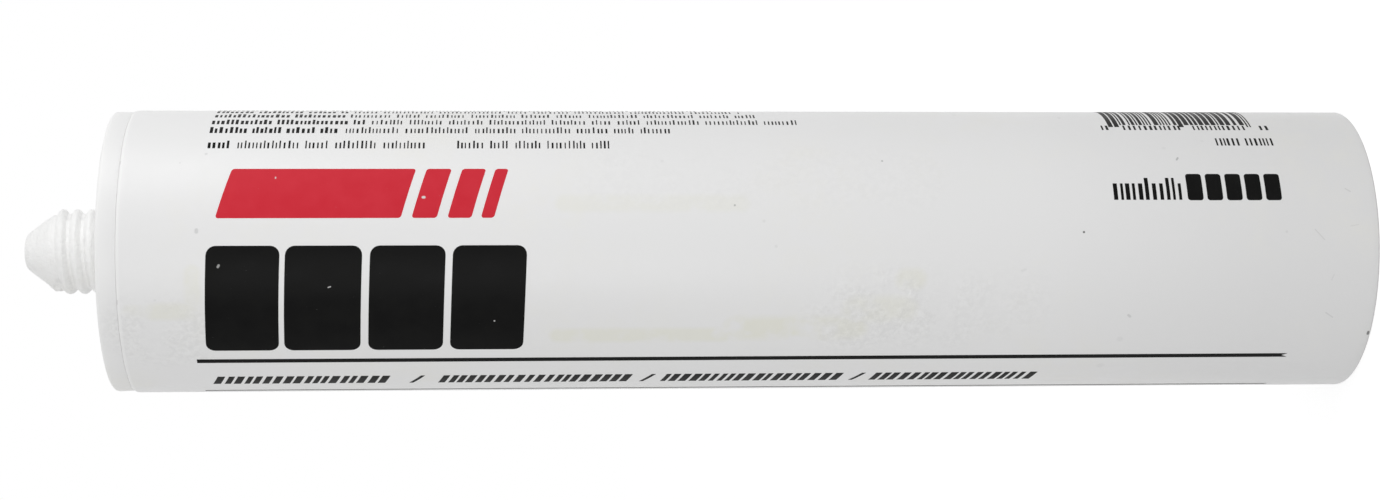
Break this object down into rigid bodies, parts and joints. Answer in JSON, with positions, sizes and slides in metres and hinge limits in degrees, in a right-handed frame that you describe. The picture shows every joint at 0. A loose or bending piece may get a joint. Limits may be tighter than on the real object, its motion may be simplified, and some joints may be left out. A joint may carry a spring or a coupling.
{
  "type": "sealant cartridge",
  "caption": "White round cartridge for sealant: closed dome on a threaded neck, open rear end with a sliding piston, filled in between.",
  "frame": {"origin": "centre of the open rear rim, on the surface that the cartridge stands on", "axes": "+Z along the axis of the tube, from the open rear rim to the neck; +X is the side at the top of the picture and -Y the side that faces its camera"},
  "size_m": [0.0494, 0.0494, 0.2342],
  "materials": {
    "barrel": "satin",
    "piston": "satin",
    "sealant": "satin"
  },
  "bodies": {
    "cartridge": {"barrel": "barrel", "sealant": "sealant"},
    "plunger": {"piston": "piston"}
  },
  "joints": [
    {"name": "piston_slide", "type": "slide", "parent": "cartridge", "child": "plunger", "axis": [0, 0, 1], "range_m": [0, 0.1816], "deforming": ["sealant"]}
  ]
}
